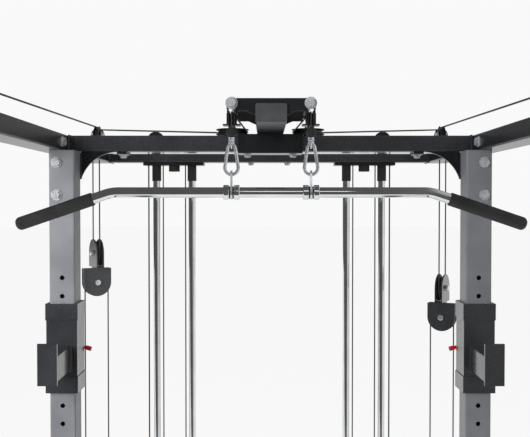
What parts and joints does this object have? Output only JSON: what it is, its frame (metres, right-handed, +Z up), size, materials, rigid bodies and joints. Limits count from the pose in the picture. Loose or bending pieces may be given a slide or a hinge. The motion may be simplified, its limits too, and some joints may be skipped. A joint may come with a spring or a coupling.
{
  "type": "functional trainer",
  "caption": "Half rack with adjustable cable columns, weight stacks on guide rods, floating pulley blocks, a high pulley head with a bent bar, and sliding bar hooks.",
  "frame": {"origin": "on the floor, in the middle of the footprint", "axes": "+Z up, +X to the right of a user facing the weight stacks, +Y towards the stacks"},
  "size_m": [1.464, 1.766, 2.1759],
  "materials": {
    "frame_paint": "satin",
    "black_paint": "satin",
    "chrome": "polished",
    "zinc": "bright",
    "rubber": "matte",
    "plastic": "moulded",
    "iron": "painted",
    "cable": "coated",
    "red": "moulded"
  },
  "bodies": {
    "root": {"base_frame": "frame_paint", "uprights": "frame_paint", "front_columns": "frame_paint", "side_beams": "frame_paint", "cross_beam": "frame_paint", "rear_top_beam": "frame_paint", "lat_boom": "frame_paint", "gussets": "black_paint", "saddle_plate": "black_paint", "wing_plates": "black_paint", "stack_top_plates": "black_paint", "pulley_brackets": "black_paint", "guide_rods": "chrome", "frame_bolts": "zinc", "foot_pads": "rubber", "stack_bumpers": "rubber", "end_caps": "plastic", "guide_pulleys": "plastic", "weight_stacks": "iron", "cable_fixed": "cable", "cable_lat": "cable", "cable_carriage_left": "cable", "cable_carriage_right": "cable", "cable_float_left": "cable", "cable_float_right": "cable", "cable_stack_left": "cable", "cable_stack_right": "cable"},
    "lat_bar": {"lat_bar": "chrome", "lat_grips": "rubber", "bar_eyes": "chrome", "carabiners": "zinc", "cable_ends": "rubber"},
    "stack_left": {"stack_head_left": "iron"},
    "stack_pulley_left": {"stack_pulley_left": "plastic"},
    "selector_left": {"selector_pin_left": "red"},
    "float_left": {"float_left": "black_paint", "float_sheaves_left": "plastic"},
    "lat_swivel_left": {"lat_swivel_left": "black_paint"},
    "lat_pulley_left": {"lat_pulley_left": "plastic"},
    "hook_left": {"hook_left": "black_paint"},
    "hook_pin_left": {"hook_pin_left": "red"},
    "carriage_left": {"carriage_left": "black_paint"},
    "pop_pin_left": {"pop_pin_left": "red"},
    "swivel_left": {"swivel_left": "black_paint", "swivel_pulley_left": "plastic"},
    "handle_left": {"handle_left": "rubber"},
    "stack_right": {"stack_head_right": "iron"},
    "stack_pulley_right": {"stack_pulley_right": "plastic"},
    "selector_right": {"selector_pin_right": "red"},
    "float_right": {"float_right": "black_paint", "float_sheaves_right": "plastic"},
    "lat_swivel_right": {"lat_swivel_right": "black_paint"},
    "lat_pulley_right": {"lat_pulley_right": "plastic"},
    "hook_right": {"hook_right": "black_paint"},
    "hook_pin_right": {"hook_pin_right": "red"},
    "carriage_right": {"carriage_right": "black_paint"},
    "pop_pin_right": {"pop_pin_right": "red"},
    "swivel_right": {"swivel_right": "black_paint", "swivel_pulley_right": "plastic"},
    "handle_right": {"handle_right": "rubber"}
  },
  "joints": [
    {"name": "lat_pull", "type": "slide", "parent": "root", "child": "lat_bar", "axis": [0, 0, -1], "range_m": [0, 0.48], "deforming": ["cable_lat"]},
    {"name": "float_left_lift", "type": "slide", "parent": "root", "child": "float_left", "axis": [0, 0, 1], "range_m": [0, 0.24], "deforming": ["cable_float_left"]},
    {"name": "stack_left_lift", "type": "slide", "parent": "root", "child": "stack_left", "axis": [0, 0, 1], "range_m": [0, 0.24], "deforming": ["cable_stack_left"]},
    {"name": "stack_pulley_left_spin", "type": "hinge", "parent": "stack_left", "child": "stack_pulley_left", "pos_m": [-0.341, 0.78, 0.53], "axis": [0, 1, 0], "range_deg": [0, 350]},
    {"name": "selector_left_pull", "type": "slide", "parent": "stack_left", "child": "selector_left", "axis": [0, -1, 0], "range_m": [0, 0.12]},
    {"name": "lat_swivel_left_turn", "type": "hinge", "parent": "root", "child": "lat_swivel_left", "pos_m": [-0.095, -0.13, 2.16], "axis": [0, 1, 0], "range_deg": [-15, 15]},
    {"name": "lat_pulley_left_spin", "type": "hinge", "parent": "lat_swivel_left", "child": "lat_pulley_left", "pos_m": [-0.095, -0.135, 2.12], "axis": [1, 0, 0], "range_deg": [0, 1450]},
    {"name": "hook_left_slide", "type": "slide", "parent": "root", "child": "hook_left", "axis": [0, 0, 1], "range_m": [-0.9, 0.26]},
    {"name": "hook_pin_left_pull", "type": "slide", "parent": "hook_left", "child": "hook_pin_left", "axis": [0, 1, 0], "range_m": [-0.008, 0.012], "stiffness_N_per_m": 400},
    {"name": "carriage_left_slide", "type": "slide", "parent": "root", "child": "carriage_left", "axis": [0, 0, 1], "range_m": [-0.48, 0.96], "deforming": ["cable_carriage_left"]},
    {"name": "pop_pin_left_pull", "type": "slide", "parent": "carriage_left", "child": "pop_pin_left", "axis": [1, 0, 0], "range_m": [-0.008, 0.012], "stiffness_N_per_m": 400},
    {"name": "swivel_left_turn", "type": "hinge", "parent": "carriage_left", "child": "swivel_left", "pos_m": [-0.664, -0.797, 0.9], "axis": [0, 0, 1], "range_deg": [-40, 40]},
    {"name": "handle_left_swing", "type": "hinge", "parent": "swivel_left", "child": "handle_left", "pos_m": [-0.664, -0.849, 0.8664], "axis": [1, 0, 0], "range_deg": [-75, 3]},
    {"name": "float_right_lift", "type": "slide", "parent": "root", "child": "float_right", "axis": [0, 0, 1], "range_m": [0, 0.24], "deforming": ["cable_float_right"]},
    {"name": "stack_right_lift", "type": "slide", "parent": "root", "child": "stack_right", "axis": [0, 0, 1], "range_m": [0, 0.24], "deforming": ["cable_stack_right"]},
    {"name": "stack_pulley_right_spin", "type": "hinge", "parent": "stack_right", "child": "stack_pulley_right", "pos_m": [0.341, 0.78, 0.53], "axis": [0, 1, 0], "range_deg": [-350, 0]},
    {"name": "selector_right_pull", "type": "slide", "parent": "stack_right", "child": "selector_right", "axis": [0, -1, 0], "range_m": [0, 0.12]},
    {"name": "lat_swivel_right_turn", "type": "hinge", "parent": "root", "child": "lat_swivel_right", "pos_m": [0.095, -0.13, 2.16], "axis": [0, 1, 0], "range_deg": [-15, 15]},
    {"name": "lat_pulley_right_spin", "type": "hinge", "parent": "lat_swivel_right", "child": "lat_pulley_right", "pos_m": [0.095, -0.135, 2.12], "axis": [1, 0, 0], "range_deg": [0, 1450]},
    {"name": "hook_right_slide", "type": "slide", "parent": "root", "child": "hook_right", "axis": [0, 0, 1], "range_m": [-0.9, 0.26]},
    {"name": "hook_pin_right_pull", "type": "slide", "parent": "hook_right", "child": "hook_pin_right", "axis": [0, 1, 0], "range_m": [-0.008, 0.012], "stiffness_N_per_m": 400},
    {"name": "carriage_right_slide", "type": "slide", "parent": "root", "child": "carriage_right", "axis": [0, 0, 1], "range_m": [-0.72, 0.72], "deforming": ["cable_carriage_right"]},
    {"name": "pop_pin_right_pull", "type": "slide", "parent": "carriage_right", "child": "pop_pin_right", "axis": [-1, 0, 0], "range_m": [-0.008, 0.012], "stiffness_N_per_m": 400},
    {"name": "swivel_right_turn", "type": "hinge", "parent": "carriage_right", "child": "swivel_right", "pos_m": [0.664, -0.797, 1.14], "axis": [0, 0, 1], "range_deg": [-40, 40]},
    {"name": "handle_right_swing", "type": "hinge", "parent": "swivel_right", "child": "handle_right", "pos_m": [0.664, -0.849, 1.1064], "axis": [1, 0, 0], "range_deg": [-75, 3]}
  ],
  "couplings": [
    {"joint": "float_left_lift", "follows": "lat_pull", "ratio": 0.5},
    {"joint": "stack_left_lift", "follows": "lat_pull", "ratio": 0.5},
    {"joint": "stack_pulley_left_spin", "follows": "lat_pull", "rad_per_m": 12.5},
    {"joint": "lat_pulley_left_spin", "follows": "lat_pull", "rad_per_m": 52.632},
    {"joint": "float_right_lift", "follows": "lat_pull", "ratio": 0.5},
    {"joint": "stack_right_lift", "follows": "lat_pull", "ratio": 0.5},
    {"joint": "stack_pulley_right_spin", "follows": "lat_pull", "rad_per_m": -12.5},
    {"joint": "lat_pulley_right_spin", "follows": "lat_pull", "rad_per_m": 52.632}
  ]
}
